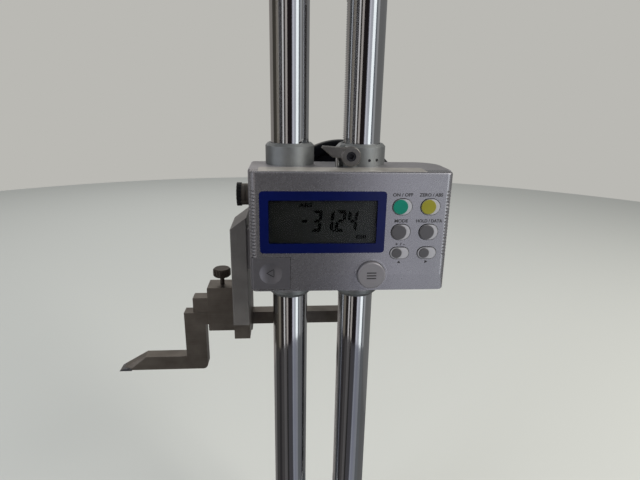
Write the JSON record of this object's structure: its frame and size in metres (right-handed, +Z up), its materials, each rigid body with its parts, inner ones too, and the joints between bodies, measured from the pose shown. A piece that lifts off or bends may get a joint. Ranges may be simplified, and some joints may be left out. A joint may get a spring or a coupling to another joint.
{
  "type": "height gauge",
  "caption": "Digital height gauge: a display slider on twin columns with a rack, rear hand wheel, clamp lever and a clamped scriber over a heavy base.",
  "frame": {"origin": "centre of the base's ground underside, midway between the two columns", "axes": "+X to the right along the display, +Y away from the display towards the hand wheel, +Z up the columns; the slider stands with the scriber's edge 190 mm above the plate"},
  "size_m": [0.2185, 0.118, 0.4954],
  "materials": {
    "base_paint": "fine textured grey enamel on cast iron",
    "column_chrome": "hard-chromed and ground, mirror bright",
    "head_casting": "satin cast aluminium",
    "fastener_steel": "blackened steel socket screws",
    "slider_casting": "die-cast aluminium, silver lacquered",
    "shell_silver": "silver-grey moulded shell, satin",
    "collar_steel": "fine-blasted steel",
    "bright_steel": "turned bright steel",
    "gear_steel": "cut steel, lightly oiled",
    "bronze": "plain bronze",
    "brass": "plain brass",
    "bezel_navy": "deep navy, semi-gloss",
    "display_glass": "clear flat window",
    "lcd_grey": "dark grey liquid-crystal panel",
    "board_green": "green circuit board",
    "mat_rubber": "grey silicone",
    "button_green": "green button",
    "button_yellow": "olive-yellow button",
    "holder_black": "black moulding",
    "cell_steel": "plated steel can",
    "cap_grey": "grey moulded cap",
    "knob_black": "black moulded knob",
    "wheel_black": "black, polished rim",
    "encoder_glass": "etched encoder disc",
    "arm_grey": "dark grey satin",
    "jaw_steel": "dark ground steel",
    "thumb_steel": "blackened and knurled steel",
    "scriber_steel": "hardened dark satin steel",
    "carbide": "ground carbide"
  },
  "bodies": {
    "frame": {"base": "base_paint", "left_column": "column_chrome", "rack_column": "column_chrome", "column_head": "head_casting", "column_screws": "fastener_steel"},
    "slider": {"slider_body": "slider_casting", "left_collar": "collar_steel", "clamp_collar": "collar_steel", "collar_set_screws": "fastener_steel", "clamp_shoes": "brass", "stop_pin": "bright_steel", "guide_bushes": "bronze", "column_wipers": "collar_steel", "front_shell": "shell_silver", "display_bezel": "bezel_navy", "display_glass": "display_glass", "lcd_panel": "lcd_grey", "display_board": "board_green", "key_mat": "mat_rubber", "cell_holder": "holder_black", "button_cell": "cell_steel", "socket_cap": "cap_grey", "data_socket": "holder_black", "measuring_arm": "arm_grey", "arm_screws": "fastener_steel", "measuring_jaw": "jaw_steel", "gear_cover": "slider_casting", "gear_cover_screws": "fastener_steel", "wheel_bushes": "bronze", "pinion_bushes": "bronze", "sensor_board": "board_green"},
    "pinion": {"rack_pinion": "gear_steel", "pinion_shaft": "bright_steel", "driven_gear": "gear_steel", "encoder_disc": "encoder_glass"},
    "hand_wheel": {"hand_wheel": "wheel_black", "wheel_shaft": "bright_steel", "drive_gear": "gear_steel", "wheel_cap": "wheel_black", "grip_pin": "bright_steel"},
    "finger_grip": {"finger_grip": "knob_black"},
    "clamp_lever": {"clamp_lever": "collar_steel", "clamp_screw": "fastener_steel"},
    "side_knob": {"side_knob": "knob_black", "side_knob_stem": "bright_steel"},
    "clamp_box": {"clamp_box": "jaw_steel", "pressure_pad": "brass"},
    "thumbscrew": {"thumbscrew": "thumb_steel"},
    "scriber": {"scriber": "scriber_steel", "carbide_tip": "carbide"},
    "battery_cover": {"battery_cover": "shell_silver"},
    "on_off_key": {"key_on_off": "shell_silver", "key_on_off_button": "button_green"},
    "zero_abs_key": {"key_zero_abs": "shell_silver", "key_zero_abs_button": "button_yellow"},
    "mode_key": {"key_mode": "shell_silver"},
    "hold_data_key": {"key_hold_data": "shell_silver"},
    "plus_minus_key": {"key_plus_minus": "shell_silver"},
    "arrow_key": {"key_arrow": "shell_silver"}
  },
  "joints": [
    {"name": "slider_slide", "type": "slide", "parent": "frame", "child": "slider", "axis": [0, 0, 1], "range_m": [-0.19, 0.11]},
    {"name": "pinion_spin", "type": "hinge", "parent": "slider", "child": "pinion", "pos_m": [0.0048, 0, 0.3112], "axis": [0, 1, 0], "range_deg": [-1816, 1052]},
    {"name": "wheel_spin", "type": "hinge", "parent": "slider", "child": "hand_wheel", "pos_m": [0.013, 0.03, 0.3112], "axis": [0, 1, 0], "range_deg": [-1643, 2836]},
    {"name": "grip_spin", "type": "hinge", "parent": "hand_wheel", "child": "finger_grip", "pos_m": [0.013, 0.045, 0.3387], "axis": [0, 1, 0], "continuous": true},
    {"name": "clamp_lever_turn", "type": "hinge", "parent": "slider", "child": "clamp_lever", "pos_m": [0.0126, -0.018, 0.3487], "axis": [0, 1, 0], "range_deg": [-15, 60]},
    {"name": "side_knob_turn", "type": "hinge", "parent": "slider", "child": "side_knob", "pos_m": [-0.05, 0, 0.3236], "axis": [1, 0, 0], "range_deg": [0, 270]},
    {"name": "clamp_box_slide", "type": "slide", "parent": "slider", "child": "clamp_box", "axis": [1, 0, 0], "range_m": [-0.008, 0.001]},
    {"name": "thumbscrew_turn", "type": "hinge", "parent": "clamp_box", "child": "thumbscrew", "pos_m": [-0.0676, 0.0275, 0.2622], "axis": [0, 0, 1], "range_deg": [0, 360]},
    {"name": "scriber_slide", "type": "slide", "parent": "clamp_box", "child": "scriber", "axis": [1, 0, 0], "range_m": [-0.018, 0.001]},
    {"name": "battery_cover_slide", "type": "slide", "parent": "slider", "child": "battery_cover", "axis": [-1, 0, 0], "range_m": [0, 0.008]},
    {"name": "on_off_key_press", "type": "slide", "parent": "slider", "child": "on_off_key", "axis": [0, 1, 0], "range_m": [0, 0.0007], "stiffness_N_per_m": 600, "springref_m": -0.0004},
    {"name": "zero_abs_key_press", "type": "slide", "parent": "slider", "child": "zero_abs_key", "axis": [0, 1, 0], "range_m": [0, 0.0007], "stiffness_N_per_m": 600, "springref_m": -0.0004},
    {"name": "mode_key_press", "type": "slide", "parent": "slider", "child": "mode_key", "axis": [0, 1, 0], "range_m": [0, 0.0007], "stiffness_N_per_m": 600, "springref_m": -0.0004},
    {"name": "hold_data_key_press", "type": "slide", "parent": "slider", "child": "hold_data_key", "axis": [0, 1, 0], "range_m": [0, 0.0007], "stiffness_N_per_m": 600, "springref_m": -0.0004},
    {"name": "plus_minus_key_press", "type": "slide", "parent": "slider", "child": "plus_minus_key", "axis": [0, 1, 0], "range_m": [0, 0.0007], "stiffness_N_per_m": 600, "springref_m": -0.0004},
    {"name": "arrow_key_press", "type": "slide", "parent": "slider", "child": "arrow_key", "axis": [0, 1, 0], "range_m": [0, 0.0007], "stiffness_N_per_m": 600, "springref_m": -0.0004}
  ],
  "couplings": [
    {"joint": "pinion_spin", "follows": "slider_slide", "rad_per_m": 166.67},
    {"joint": "wheel_spin", "follows": "slider_slide", "rad_per_m": -260.42}
  ]
}
